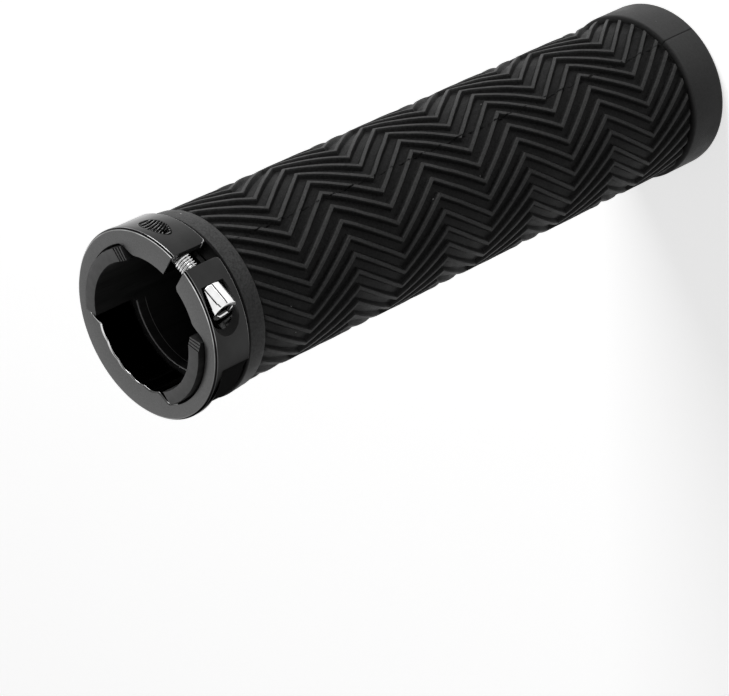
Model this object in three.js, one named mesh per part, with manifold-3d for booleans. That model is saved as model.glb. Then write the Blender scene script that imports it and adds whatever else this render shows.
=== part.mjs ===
// Clamp-on bicycle handlebar grip: a rubber sleeve with a herringbone tread, the hard core it is
// moulded on, the slotted collar that clamps the core's tabs on the handlebar, and the collar's bolt.
// Millimetres, +Z up. The grip stands on its outer end: the origin is the centre of that end,
// +Z runs along the axis to the clamp, and the collar's slot faces -Y.

import * as THREE from "three";
import { mergeVertices } from "three/addons/utils/BufferGeometryUtils.js";
import Module from "manifold-3d";

const wasm = await Module();
wasm.setup();

// Lengths along the axis, from the outer end to the clamp end
const END_BAND_LENGTH = 8.4;
const BAND_GROOVE_LENGTH = 0.6;
const TREAD_BANDS = 10;
const TREAD_BAND_LENGTH = 10.8;
const FLANGE_GROOVE_LENGTH = 0.3;
const FLANGE_LENGTH = 4.0;
const COLLAR_LENGTH = 7.5;

// Handlebar and core
const BAR_DIAMETER = 22.2;
const BAR_CLEARANCE = 0.05;
const CORE_WALL = 1.3;
const CORE_END_RECESS = 1.0;
const LEAD_IN_DEPTH = 1.8;
const LEAD_IN_FLARE = 0.35;
const TAB_WALL = 2.35;
const TAB_CENTRE_ANGLE = 96;
const TAB_HALF_ANGLE = 39;
const TAB_END_SLOPE = 4;
const TAB_END_STEPS = 3;
const TAB_STEP_DEPTH = 0.2;
const TAB_STEP_ANGLE = 2;
const TAB_PROUD = 1.0;
const TAB_EDGE = 0.25;

// Rubber sleeve
const RUBBER_TO_CORE_GAP = 0.25;
const RIB_COUNT = 32;
const RIB_TOP_WIDTH = 0.65;
const RIB_BASE_WIDTH = 1.45;
const RIB_HEIGHT = 0.8;
const RUBBER_UNDER_RIBS = 1.8;
const TREAD_SWING = 27.5;
const FIRST_RIB_FROM_SLOT = 5.5;
const STEPS_PER_BAND = 3;
const END_BAND_WALL = 3.1;
const END_BAND_ROUNDING = 0.9;
const FLANGE_WALL = 3.2;
const FLANGE_TAPER = 0.35;
const RUBBER_EDGE = 0.35;
const GROOVE_UNDERCUT = 0.15;
const TREAD_OVERLAP = 0.5;

// Lock collar
const COLLAR_WALL = 2.65;
const COLLAR_CHAMFER = 0.35;
const COLLAR_TO_FLANGE_GAP = 0.3;
const LAND_CLEARANCE = 0.6;
const RECESS_CLEARANCE = 0.35;
const RECESS_NEAR_CLEARANCE = 5;
const RECESS_NEAR_SLOPE = 15;
const RECESS_FAR_CLEARANCE = 2;
const RECESS_FAR_SLOPE = 2;
const FAR_LAND_SCALLOPS = 5;
const SCALLOP_DEPTH = 0.25;
const SLOT_WIDTH = 2.8;
const SLOT_CORNER_ROUNDING = 0.8;
const HEAD_LAND_ROUNDING = 1;
const RIM_LENGTH = 1.4;
const WAIST_DEPTH = 0.8;
const WAIST_RAMP_ANGLE = 9;
const NUT_PAD_ANGLE = 57;
const HEAD_PAD_ANGLE = 69;

// Clamp bolt, an M3 socket screw with a slim, long head
const BOLT_DIAMETER = 3;
const BOLT_LENGTH = 10;
const BOLT_HEAD_DIAMETER = 4.5;
const BOLT_HEAD_LENGTH = 4.2;
const BOLT_EDGE = 0.25;
const HEX_ACROSS_FLATS = 2.5;
const HEX_DEPTH = 1.6;
const BOLT_AXIS_INSET = 2.75;
const BOLT_DEPTH_BELOW_FACE = 3.35;
const HEAD_SEAT_DISTANCE = 5.2;
const BOLT_CLEARANCE = 0.2;
const HEAD_SEAT_CLEARANCE = 0.2;
const POCKET_CLEARANCE = 0.7;

// Roundness
const ROUND_SIDES = 64;
const ARC_STEP = 6;
const BOLT_SIDES = 24;
const CURVE_STEPS = 4;

// How far a cutting body runs past what it cuts
const CUT_OVERRUN = 1;
const RAMP_OVERRUN = 0.1;

// Levels and radii that follow
const TREAD_BOTTOM = END_BAND_LENGTH + BAND_GROOVE_LENGTH;
const TREAD_TOP = TREAD_BOTTOM + TREAD_BANDS * TREAD_BAND_LENGTH;
const FLANGE_BOTTOM = TREAD_TOP + FLANGE_GROOVE_LENGTH;
const FLANGE_TOP = FLANGE_BOTTOM + FLANGE_LENGTH;
const COLLAR_BOTTOM = FLANGE_TOP + COLLAR_TO_FLANGE_GAP;
const COLLAR_TOP = COLLAR_BOTTOM + COLLAR_LENGTH;
const BORE_RADIUS = BAR_DIAMETER / 2 + BAR_CLEARANCE;
const CORE_RADIUS = BORE_RADIUS + CORE_WALL;
const TAB_RADIUS = BORE_RADIUS + TAB_WALL;
const SLEEVE_BORE_RADIUS = CORE_RADIUS + RUBBER_TO_CORE_GAP;
const LAND_RADIUS = BORE_RADIUS + LAND_CLEARANCE;
const TREAD_FLOOR_RADIUS = SLEEVE_BORE_RADIUS + RUBBER_UNDER_RIBS;
const TREAD_RADIUS = TREAD_FLOOR_RADIUS + RIB_HEIGHT;
const END_BAND_RADIUS = SLEEVE_BORE_RADIUS + END_BAND_WALL;
const FLANGE_RADIUS = SLEEVE_BORE_RADIUS + FLANGE_WALL;
const RECESS_RADIUS = TAB_RADIUS + RECESS_CLEARANCE;
const COLLAR_RADIUS = RECESS_RADIUS + COLLAR_WALL;
const WAIST_RADIUS = COLLAR_RADIUS - WAIST_DEPTH;
const BOLT_AXIS_DISTANCE = COLLAR_RADIUS - BOLT_AXIS_INSET;
const BOLT_LEVEL = COLLAR_TOP - BOLT_DEPTH_BELOW_FACE;
const SLOT_DIRECTION = -90;

const radians = THREE.MathUtils.degToRad;
const polar = (radius, degrees) =>
  new THREE.Vector2(radius * Math.cos(radians(degrees)), radius * Math.sin(radians(degrees)));

// A closed geometry as a solid, and a solid back as a geometry
function solidOf(geometry) {
  const bare = geometry.clone();
  bare.deleteAttribute("normal");
  bare.deleteAttribute("uv");
  const merged = mergeVertices(bare, 1e-4);
  return new wasm.Manifold(
    new wasm.Mesh({
      numProp: 3,
      vertProperties: merged.attributes.position.array,
      triVerts: new Uint32Array(merged.index.array),
    }),
  );
}

function geometryOf(solid) {
  const mesh = solid.getMesh();
  const geometry = new THREE.BufferGeometry();
  geometry.setAttribute("position", new THREE.BufferAttribute(mesh.vertProperties, 3));
  geometry.setIndex(new THREE.BufferAttribute(mesh.triVerts, 1));
  geometry.computeVertexNormals();
  return geometry;
}

// A solid turned about Z from [radius, height] pairs that run up from the axis and back to it
function turned(profile, sides = ROUND_SIDES) {
  const points = profile.map(([radius, height]) => new THREE.Vector2(radius, height));
  return new THREE.LatheGeometry(points, sides).rotateX(Math.PI / 2);
}

// A plain round bar along Z
function roundBar(radius, bottom, top, sides = ROUND_SIDES) {
  return turned([[0, bottom], [radius, bottom], [radius, top], [0, top]], sides);
}

// The same bar laid along X, through the bolt's axis
function barAlongBolt(radius, from, to, sides = BOLT_SIDES) {
  return roundBar(radius, from, to, sides)
    .rotateY(Math.PI / 2)
    .translate(0, -BOLT_AXIS_DISTANCE, BOLT_LEVEL);
}

// Where a rib lies at a depth below the flange, in degrees from where it meets the flange: each
// band leans the other way
function zigzag(depth) {
  const along = (depth / TREAD_BAND_LENGTH) % 2;
  return -TREAD_SWING * (along < 1 ? along : 2 - along);
}

// One turn of the tread's section: four corners for each rib, as [radius, degrees]
function ribSection() {
  const pitch = 360 / RIB_COUNT;
  const wide = (width) => THREE.MathUtils.radToDeg(width / TREAD_RADIUS);
  const corners = [];
  for (let rib = 0; rib < RIB_COUNT; rib++) {
    const middle = SLOT_DIRECTION + FIRST_RIB_FROM_SLOT + rib * pitch;
    corners.push([TREAD_FLOOR_RADIUS, middle - wide(RIB_BASE_WIDTH) / 2]);
    corners.push([TREAD_RADIUS, middle - wide(RIB_TOP_WIDTH) / 2]);
    corners.push([TREAD_RADIUS, middle + wide(RIB_TOP_WIDTH) / 2]);
    corners.push([TREAD_FLOOR_RADIUS, middle + wide(RIB_BASE_WIDTH) / 2]);
  }
  return corners;
}

// The ribbed body: the section carried up the axis as it swings to and fro, with plain ends
function treadBody() {
  const section = ribSection();
  const around = section.length;
  const steps = TREAD_BANDS * STEPS_PER_BAND;
  const positions = [];
  for (let step = 0; step <= steps; step++) {
    const height = (step / STEPS_PER_BAND) * TREAD_BAND_LENGTH;
    for (const [radius, degrees] of section) {
      const corner = polar(radius, degrees + zigzag(TREAD_BANDS * TREAD_BAND_LENGTH - height));
      positions.push(corner.x, corner.y, TREAD_BOTTOM + height);
    }
  }
  const faces = [];
  for (let step = 0; step < steps; step++) {
    for (let i = 0; i < around; i++) {
      const a = step * around + i;
      const b = step * around + ((i + 1) % around);
      faces.push(a, b, b + around, a, b + around, a + around);
    }
  }
  const lowest = positions.length / 3;
  positions.push(0, 0, TREAD_BOTTOM, 0, 0, TREAD_TOP);
  for (let i = 0; i < around; i++) {
    const next = (i + 1) % around;
    faces.push(lowest, next, i);
    faces.push(lowest + 1, steps * around + i, steps * around + next);
  }
  const geometry = new THREE.BufferGeometry();
  geometry.setAttribute("position", new THREE.Float32BufferAttribute(positions, 3));
  geometry.setIndex(faces);
  return geometry;
}

// Smooth lengths of the sleeve: end band, the grooves at the tread's ends, and flange. Between the
// grooves it is a thin sleeve that lies inside the tread.
function sleeveBody() {
  const inner = SLEEVE_BORE_RADIUS + TREAD_OVERLAP;
  const groove = TREAD_FLOOR_RADIUS - GROOVE_UNDERCUT;
  const band = END_BAND_RADIUS;
  const soft = END_BAND_ROUNDING;
  const slant = soft * (1 - Math.SQRT1_2);
  return turned([
    [0, 0],
    [band - soft, 0],
    [band - slant, slant],
    [band, soft],
    [band, END_BAND_LENGTH - RUBBER_EDGE],
    [band - RUBBER_EDGE, END_BAND_LENGTH],
    [groove, END_BAND_LENGTH],
    [groove, TREAD_BOTTOM + TREAD_OVERLAP],
    [inner, TREAD_BOTTOM + TREAD_OVERLAP],
    [inner, TREAD_TOP - TREAD_OVERLAP],
    [groove, TREAD_TOP - TREAD_OVERLAP],
    [groove, FLANGE_BOTTOM],
    [FLANGE_RADIUS - FLANGE_TAPER - RUBBER_EDGE, FLANGE_BOTTOM],
    [FLANGE_RADIUS - FLANGE_TAPER, FLANGE_BOTTOM + RUBBER_EDGE],
    [FLANGE_RADIUS, FLANGE_TOP - RUBBER_EDGE],
    [FLANGE_RADIUS - RUBBER_EDGE, FLANGE_TOP],
    [0, FLANGE_TOP],
  ]);
}

function rubberSleeve() {
  const bore = roundBar(SLEEVE_BORE_RADIUS, -CUT_OVERRUN, FLANGE_TOP + CUT_OVERRUN);
  return geometryOf(solidOf(sleeveBody()).add(solidOf(treadBody())).subtract(solidOf(bore)));
}

// Points along an arc about the axis, from one angle to another, about ARC_STEP degrees apart
function arcPoints(radius, from, to) {
  const steps = Math.max(1, Math.round(Math.abs(to - from) / ARC_STEP));
  return Array.from({ length: steps + 1 }, (_, i) => polar(radius, from + ((to - from) * i) / steps));
}

// An outline in the XY plane, raised from one height to another
function raised(points, bottom, top) {
  const options = { depth: top - bottom, bevelEnabled: false };
  return new THREE.ExtrudeGeometry(new THREE.Shape(points), options).translate(0, 0, bottom);
}

// A slice of pie about the axis, centred on an angle. Past the bore its sides open out by SLOPE degrees
// each way over the tab's thickness.
function slice(centre, halfAngle, slope, bottom, top) {
  const inner = halfAngle - slope;
  const outer = halfAngle + slope;
  const outline = [
    new THREE.Vector2(0, 0),
    polar(BORE_RADIUS, centre - inner),
    polar(TAB_RADIUS, centre - outer),
    ...arcPoints(COLLAR_RADIUS, centre - outer, centre + outer),
    polar(TAB_RADIUS, centre + outer),
    polar(BORE_RADIUS, centre + inner),
  ];
  return raised(outline, bottom, top);
}

// A turned tube with a head, milled away between its two tabs and then bored for the handlebar.
// Towards the slot each tab comes down in small steps. Between the tabs the bore opens out a little
// where the handlebar goes in.
function coreSleeve() {
  const tabTop = COLLAR_TOP + TAB_PROUD;
  const body = turned([
    [0, CORE_END_RECESS],
    [CORE_RADIUS, CORE_END_RECESS],
    [CORE_RADIUS, COLLAR_BOTTOM],
    [TAB_RADIUS, COLLAR_BOTTOM],
    [TAB_RADIUS, tabTop - TAB_EDGE],
    [TAB_RADIUS - TAB_EDGE, tabTop],
    [0, tabTop],
  ]);
  const bore = roundBar(BORE_RADIUS, -CUT_OVERRUN, tabTop + CUT_OVERRUN);
  const leadIn = turned([
    [0, FLANGE_TOP - LEAD_IN_DEPTH],
    [BORE_RADIUS, FLANGE_TOP - LEAD_IN_DEPTH],
    [BORE_RADIUS + LEAD_IN_FLARE, FLANGE_TOP],
    [0, FLANGE_TOP],
  ]);
  const nearHalf = TAB_CENTRE_ANGLE - TAB_HALF_ANGLE - TAB_END_STEPS * TAB_STEP_ANGLE;
  const gaps = [
    [SLOT_DIRECTION, nearHalf, TAB_END_SLOPE],
    [SLOT_DIRECTION + 180, 180 - TAB_CENTRE_ANGLE - TAB_HALF_ANGLE, 0],
  ];
  const mouthBottom = FLANGE_TOP - LEAD_IN_DEPTH - CUT_OVERRUN;
  let core = solidOf(body);
  for (const [centre, half, slope] of gaps) {
    const gap = solidOf(slice(centre, half, slope, FLANGE_TOP, tabTop + CUT_OVERRUN));
    const mouth = solidOf(slice(centre, half, slope, mouthBottom, FLANGE_TOP + CUT_OVERRUN));
    core = core.subtract(gap).subtract(solidOf(leadIn).intersect(mouth));
  }
  for (let step = 1; step <= TAB_END_STEPS; step++) {
    const half = nearHalf + step * TAB_STEP_ANGLE;
    const bottom = tabTop - (TAB_END_STEPS + 1 - step) * TAB_STEP_DEPTH;
    const cut = slice(SLOT_DIRECTION, half, TAB_END_SLOPE, bottom, tabTop + CUT_OVERRUN);
    core = core.subtract(solidOf(cut));
  }
  return geometryOf(core.subtract(solidOf(bore)));
}

// Half of the collar's section, with angles from the slot: a ring whose bore steps between a land
// beside the slot, a recess for the tab and half of the far land. The land's corner is rounded by
// ROUNDING.
function halfOutline(rounding) {
  const halfSlot = (radius) => THREE.MathUtils.radToDeg(Math.asin(SLOT_WIDTH / 2 / radius));
  const recessStart = TAB_CENTRE_ANGLE - TAB_HALF_ANGLE - RECESS_NEAR_CLEARANCE;
  const recessEnd = TAB_CENTRE_ANGLE + TAB_HALF_ANGLE + RECESS_FAR_CLEARANCE;
  const landStart = halfSlot(LAND_RADIUS) + THREE.MathUtils.radToDeg(rounding / LAND_RADIUS);
  const corner = new THREE.QuadraticBezierCurve(
    polar(LAND_RADIUS + rounding, halfSlot(LAND_RADIUS + rounding)),
    polar(LAND_RADIUS, halfSlot(LAND_RADIUS)),
    polar(LAND_RADIUS, landStart),
  );
  return [
    ...arcPoints(COLLAR_RADIUS, 180, halfSlot(COLLAR_RADIUS)),
    ...(rounding > 0 ? corner.getPoints(CURVE_STEPS).slice(0, -1) : []),
    ...arcPoints(LAND_RADIUS, landStart, recessStart - RECESS_NEAR_SLOPE),
    ...arcPoints(RECESS_RADIUS, recessStart, recessEnd),
    ...farLandPoints(recessEnd + RECESS_FAR_SLOPE),
  ];
}

// The far land's edge from an angle to the middle, where shallow scallops bite on the handlebar
function farLandPoints(from) {
  const scallop = (2 * (180 - from)) / FAR_LAND_SCALLOPS;
  const steps = Math.round((FAR_LAND_SCALLOPS * CURVE_STEPS) / 2);
  return Array.from({ length: steps + 1 }, (_, i) => {
    const angle = from + ((180 - from) * i) / steps;
    const wave = Math.abs(Math.sin((Math.PI * (angle - from)) / scallop));
    return polar(LAND_RADIUS + SCALLOP_DEPTH * wave, angle);
  });
}

// The whole section: the bolt's threaded side in full, then its head side, without the shared ends
function collarOutline() {
  const turn = (point, side) => {
    const angle = SLOT_DIRECTION + side * THREE.MathUtils.radToDeg(point.angle());
    return polar(point.length(), angle);
  };
  const threaded = halfOutline(0).map((point) => turn(point, 1));
  const head = halfOutline(HEAD_LAND_ROUNDING).map((point) => turn(point, -1)).reverse();
  return [...threaded, ...head.slice(1, -1)];
}

// What is rounded off a pad's corner where the slot meets the rear face, on one side of the slot
function slotCornerCutter(side) {
  const round = SLOT_CORNER_ROUNDING;
  const middle = SLOT_WIDTH / 2 + round;
  const level = COLLAR_BOTTOM + round;
  const inSlot = SLOT_WIDTH / 2 - CUT_OVERRUN;
  const below = COLLAR_BOTTOM - CUT_OVERRUN;
  const outline = [[inSlot, level]];
  for (let i = 0; i <= CURVE_STEPS; i++) {
    const point = polar(round, 180 + (90 * i) / CURVE_STEPS);
    outline.push([middle + point.x, level + point.y]);
  }
  outline.push([middle, below], [inSlot, below]);
  const shape = new THREE.Shape(outline.map(([x, z]) => new THREE.Vector2(side * x, z)));
  const options = { depth: COLLAR_RADIUS + CUT_OVERRUN, bevelEnabled: false };
  return new THREE.ExtrudeGeometry(shape, options).rotateX(Math.PI / 2);
}

// What is milled off behind the rim, away from the clamp: a shallow waist that ramps up to each pad
function waistCutter() {
  const outside = COLLAR_RADIUS + CUT_OVERRUN;
  const from = SLOT_DIRECTION + NUT_PAD_ANGLE;
  const to = SLOT_DIRECTION - HEAD_PAD_ANGLE + 360;
  const ramp = (top, foot) => {
    const curve = new THREE.QuadraticBezierCurve(
      polar(COLLAR_RADIUS + RAMP_OVERRUN, top),
      polar(WAIST_RADIUS, (top + foot) / 2),
      polar(WAIST_RADIUS, foot),
    );
    return curve.getPoints(CURVE_STEPS);
  };
  const outline = [
    ...ramp(from, from + WAIST_RAMP_ANGLE),
    ...arcPoints(WAIST_RADIUS, from + WAIST_RAMP_ANGLE, to - WAIST_RAMP_ANGLE).slice(1, -1),
    ...ramp(to, to - WAIST_RAMP_ANGLE).reverse(),
    ...arcPoints(outside, to, from),
  ];
  return raised(outline, COLLAR_BOTTOM - CUT_OVERRUN, COLLAR_TOP - RIM_LENGTH);
}

function lockCollar() {
  const options = {
    depth: COLLAR_LENGTH - 2 * COLLAR_CHAMFER,
    bevelThickness: COLLAR_CHAMFER,
    bevelSize: COLLAR_CHAMFER,
    bevelOffset: -COLLAR_CHAMFER,
    bevelSegments: 1,
  };
  const ring = new THREE.ExtrudeGeometry(new THREE.Shape(collarOutline()), options);
  ring.translate(0, 0, COLLAR_BOTTOM + COLLAR_CHAMFER);
  const outside = COLLAR_RADIUS + CUT_OVERRUN;
  const boltHole = barAlongBolt(BOLT_DIAMETER / 2 + BOLT_CLEARANCE, -outside, outside);
  const pocket = barAlongBolt(
    BOLT_HEAD_DIAMETER / 2 + POCKET_CLEARANCE, -outside, -HEAD_SEAT_DISTANCE, 2 * BOLT_SIDES,
  );
  return geometryOf(
    solidOf(ring)
      .subtract(solidOf(waistCutter()))
      .subtract(solidOf(slotCornerCutter(1)))
      .subtract(solidOf(slotCornerCutter(-1)))
      .subtract(solidOf(boltHole))
      .subtract(solidOf(pocket)),
  );
}

function hexagonalSocket() {
  const radius = HEX_ACROSS_FLATS / Math.sqrt(3);
  const corners = Array.from({ length: 6 }, (_, i) => polar(radius, 60 * i));
  return raised(corners, 0, HEX_DEPTH + CUT_OVERRUN);
}

// Made upright with its head on top, then laid along X with the head towards -X
function clampBolt() {
  const shank = BOLT_DIAMETER / 2;
  const head = BOLT_HEAD_DIAMETER / 2;
  const body = turned(
    [
      [0, -BOLT_LENGTH],
      [shank - BOLT_EDGE, -BOLT_LENGTH],
      [shank, BOLT_EDGE - BOLT_LENGTH],
      [shank, 0],
      [head, 0],
      [head, BOLT_HEAD_LENGTH - BOLT_EDGE],
      [head - BOLT_EDGE, BOLT_HEAD_LENGTH],
      [0, BOLT_HEAD_LENGTH],
    ],
    BOLT_SIDES,
  );
  const socket = hexagonalSocket().translate(0, 0, BOLT_HEAD_LENGTH - HEX_DEPTH);
  const seat = -HEAD_SEAT_DISTANCE - HEAD_SEAT_CLEARANCE;
  return geometryOf(solidOf(body).subtract(solidOf(socket)))
    .rotateY(-Math.PI / 2)
    .translate(seat, -BOLT_AXIS_DISTANCE, BOLT_LEVEL);
}

function named(name, geometry, color, roughness, metalness) {
  const material = new THREE.MeshStandardMaterial({ color, roughness, metalness });
  const mesh = new THREE.Mesh(geometry, material);
  mesh.name = name;
  return mesh;
}

const group = new THREE.Group();
group.add(
  named("rubber_sleeve", rubberSleeve(), 0x151515, 0.85, 0),
  named("core_sleeve", coreSleeve(), 0x1c1c1d, 0.55, 0),
  named("lock_collar", lockCollar(), 0x222224, 0.35, 0.6),
  named("clamp_bolt", clampBolt(), 0xd6d8da, 0.15, 1),
);

export default group;
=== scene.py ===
import math
import random

import bmesh
import bpy
from mathutils import Euler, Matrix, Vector, noise


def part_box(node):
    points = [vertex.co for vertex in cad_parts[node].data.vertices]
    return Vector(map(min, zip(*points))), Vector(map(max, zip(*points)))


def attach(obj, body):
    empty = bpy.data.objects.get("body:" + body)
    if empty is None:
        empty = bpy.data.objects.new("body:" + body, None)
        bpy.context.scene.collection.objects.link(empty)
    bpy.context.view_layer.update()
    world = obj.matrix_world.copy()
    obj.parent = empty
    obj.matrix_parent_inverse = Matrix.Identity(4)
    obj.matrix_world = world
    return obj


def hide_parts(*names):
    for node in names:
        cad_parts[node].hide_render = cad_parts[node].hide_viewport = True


# Looks of a clamp-on bicycle handlebar grip: a rubber sleeve with a herringbone tread, its hard
# core with two tabs, the anodised collar that clamps them, and the collar's bolt. Metres, +Z up,
# with the sizes below in millimetres and degrees.

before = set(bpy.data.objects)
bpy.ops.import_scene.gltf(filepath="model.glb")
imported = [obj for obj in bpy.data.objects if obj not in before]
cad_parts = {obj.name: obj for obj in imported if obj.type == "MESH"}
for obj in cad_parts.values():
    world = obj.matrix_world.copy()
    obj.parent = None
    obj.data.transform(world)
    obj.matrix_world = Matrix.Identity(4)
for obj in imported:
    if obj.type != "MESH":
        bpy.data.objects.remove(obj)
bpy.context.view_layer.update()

MM = 0.001
WELD_DISTANCE = 1e-7

# Heights in millimetres, read from the frame where a node states them
SLEEVE_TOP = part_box("rubber_sleeve")[1].z / MM
COLLAR_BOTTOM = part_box("lock_collar")[0].z / MM
COLLAR_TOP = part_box("lock_collar")[1].z / MM
TAB_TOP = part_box("core_sleeve")[1].z / MM
CORE_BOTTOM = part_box("core_sleeve")[0].z / MM
END_BAND_LENGTH = 8.4
BAND_GROOVE_LENGTH = 0.6
TREAD_BANDS = 10
FLANGE_LENGTH = 4.0
FLANGE_GROOVE_LENGTH = 0.3
TREAD_BOTTOM = END_BAND_LENGTH + BAND_GROOVE_LENGTH
FLANGE_BOTTOM = SLEEVE_TOP - FLANGE_LENGTH
TREAD_TOP = FLANGE_BOTTOM - FLANGE_GROOVE_LENGTH
BAND_LENGTH = (TREAD_TOP - TREAD_BOTTOM) / TREAD_BANDS

# Radii in millimetres
BORE_RADIUS = 11.15
CORE_RADIUS = 12.45
TAB_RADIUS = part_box("core_sleeve")[1].x / MM
SLEEVE_BORE_RADIUS = 12.7
TREAD_FLOOR_RADIUS = 14.5
END_BAND_RADIUS = 15.8
FLANGE_RADIUS = 15.9
FLANGE_REAR_RADIUS = 15.55
GROOVE_RADIUS = 14.35
LAND_RADIUS = 11.75
RECESS_RADIUS = 13.7
COLLAR_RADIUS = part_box("lock_collar")[1].x / MM
WAIST_DEPTH = 0.8
WAIST_RADIUS = COLLAR_RADIUS - WAIST_DEPTH

# Tread ribs, with angles round the grip from +X
RIB_COUNT = 32
RIB_HEIGHT = 0.8
RIB_CREST = 0.62
RIB_FOOT = 1.4
RIB_TIP = 0.35
TREAD_SWING = 27.5
FIRST_RIB = -84.5
RIB_STEPS = 7
ROWS_PER_BAND = 12
RIB_WAVER = 0.05
RIB_WAVER_ANGLE = 0.25

# The mould's parting line, with the thin fin of rubber that it leaves
PARTING_ANGLE = -89.1
FLASH_RUNS = (0.4, 2.6)
FLASH_GAPS = (0.1, 1.6)
FLASH_LEAN = 0.25
FLASH_STEP = 0.18
FLASH_RISE = 0.16
FLASH_ROOT = 0.08
FLASH_HALF_ANGLE = 0.28
FLASH_END_GAP = 0.1
NIB_ROOT = 0.1
NIB_HALF_ANGLE = 0.4

# Collar, with angles from the slot: positive towards the threaded side, up to 360 at the head side
SLOT_DIRECTION = -90
THREADED_WALL_X = 1.4
HEAD_WALL_X = 1.6
RIM_LENGTH = 1.4
RIM_STEP = 0.25
NUT_PAD_ANGLE = 57
HEAD_PAD_ANGLE = 69
RAMP_ANGLE = 9
LAND_END_ANGLE = 37
RECESS_START_ANGLE = 52
THREADED_LAND_EXTRA = 3.5
RECESS_END_ANGLE = 127
FAR_LAND_ANGLE = 139
THREADED_RECESS_EXTRA = 3.2
FAR_LAND_SCALLOPS = 5
SCALLOP_DEPTH = 0.25
COLLAR_CHAMFER = 0.32
BORE_CHAMFER = 0.22
REAR_EDGE = 0.3
BORE_REAR_EDGE = 0.2
SLOT_EDGE = 0.12
SLOT_EDGE_ANGLE = 0.4
REAR_CORNER_ROUNDING = 0.8
HEAD_LAND_ROUNDING = 1.0
FINE_ARC = 4
FINE_SECTIONS = 12
PLAIN_SECTIONS = 440

# Tabs of the core, whose ends step down towards the slot
TAB_START_ANGLE = 55
TAB_END_ANGLE = 124
THREADED_TAB_EXTRA = 6
TAB_END_SLOPE = 4
TAB_END_STEPS = 3
TAB_STEP_DEPTH = 0.2
TAB_STEP_ANGLE = 2
TAB_STEP_LEAN = 0.08
TAB_STEP_EDGE_ANGLE = 0.3
TAB_STEPS_END_Y = -6.3
LEAD_IN_DEPTH = 1.8
LEAD_IN_FLARE = 0.35
GAP_OVERRUN = 1.5

# Bolt, which lies along X
BOLT_LEVEL = COLLAR_TOP - 3.35
BOLT_AXIS_Y = -13.75
BOLT_RADIUS = 1.56
THREAD_DEPTH = 0.28
THREAD_PITCH = 0.5
ROWS_PER_PITCH = 6
BOLT_LENGTH = 10
HEAD_SEAT_X = -5.2
HEAD_CLEARANCE = 0.2
HEAD_RADIUS = 2.35
HEAD_BEVEL_LENGTH = 0.8
HEAD_LENGTH = 4.2
SHANK_SUNK_IN_HEAD = 0.2
HEX_ACROSS_FLATS = 2.5
HEX_DEPTH = 1.6
HEX_LEAD_IN = 0.18
HEX_TURN = 12
HEX_SHADE_RADIUS = 1.46
POCKET_RADIUS = 3.0
HOLE_RADIUS = 1.7
TAPPED_RADIUS = 1.8
TAPPED_DEPTH = 0.26
CUT_OVERRUN = 0.6

# Light and camera, with places in metres
BLACK_SPECULAR = 0.06
WORLD_LIGHT = 0.13
BACKDROP = 1.0
FLOOR_GLOW = 0.64
FLOOR_HALF_SIZE = 3.0
LIGHTS_AIM = (0, 0, 0.08)
CAMERA_PLACE = (-0.15979, -0.36649, 0.40943)
CAMERA_TURN = (-29.602, 44.209, -149.978)
CAMERA_LENS = 149.86
SENSOR_WIDTH = 36


def smoothstep(low, high, value):
    """0 at the low level and 1 at the high one, eased between. The low one may be the greater."""
    share = min(1.0, max(0.0, (value - low) / (high - low)))
    return share * share * (3 - 2 * share)


def polar(radius, degrees, height):
    angle = math.radians(degrees)
    return Vector((radius * math.cos(angle), radius * math.sin(angle), height))


def rounded(corners, segments=5, closed=False):
    """Points along a line through corners (a, b, rounding), with each corner eased."""
    points = []
    count = len(corners)
    for i, (a, b, rounding) in enumerate(corners):
        corner = Vector((a, b))
        if rounding == 0 or (not closed and i in (0, count - 1)):
            points.append(corner)
            continue
        before = Vector(corners[i - 1][:2])
        after = Vector(corners[(i + 1) % count][:2])
        start = corner + (before - corner).normalized() * rounding
        end = corner + (after - corner).normalized() * rounding
        for step in range(segments + 1):
            t = step / segments
            points.append(start * (1 - t) ** 2 + corner * 2 * t * (1 - t) + end * t**2)
    return points


def new_object(name, vertices, faces, sharp_angle=35):
    """An object from vertices in millimetres, smooth but for its sharp edges."""
    mesh = bpy.data.meshes.new(name)
    mesh.from_pydata([tuple(v * MM) for v in vertices], [], faces)
    mesh.validate()
    mesh.shade_smooth()
    mesh.set_sharp_from_angle(angle=math.radians(sharp_angle))
    made = bpy.data.objects.new(name, mesh)
    bpy.context.scene.collection.objects.link(made)
    return made


def skin(name, rings, looped=False, sharp_angle=35):
    """A closed mesh over rings of points. Looped rings meet end to start, others get flat ends."""
    around = len(rings[0])
    vertices = [point for ring in rings for point in ring]
    faces = []
    for i in range(len(rings) if looped else len(rings) - 1):
        here = i * around
        there = ((i + 1) % len(rings)) * around
        for j in range(around):
            k = (j + 1) % around
            faces.append((here + j, here + k, there + k, there + j))
    if not looped:
        last = (len(rings) - 1) * around
        faces.append(tuple(reversed(range(around))))
        faces.append(tuple(range(last, last + around)))
    return new_object(name, vertices, faces, sharp_angle)


def turned(name, section, columns=128, sharp_angle=35):
    """A ring turned about Z from its closed section of (radius, height) points."""
    rings = [[polar(r, 360 * j / columns, z) for j in range(columns)] for r, z in section]
    return skin(name, rings, looped=True, sharp_angle=sharp_angle)


def outward(piece):
    """Turns the faces of a closed piece so that they point out."""
    bpy.context.view_layer.objects.active = piece
    bpy.ops.object.mode_set(mode="EDIT")
    bpy.ops.mesh.select_all(action="SELECT")
    bpy.ops.mesh.normals_make_consistent(inside=False)
    bpy.ops.object.mode_set(mode="OBJECT")
    return piece


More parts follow.
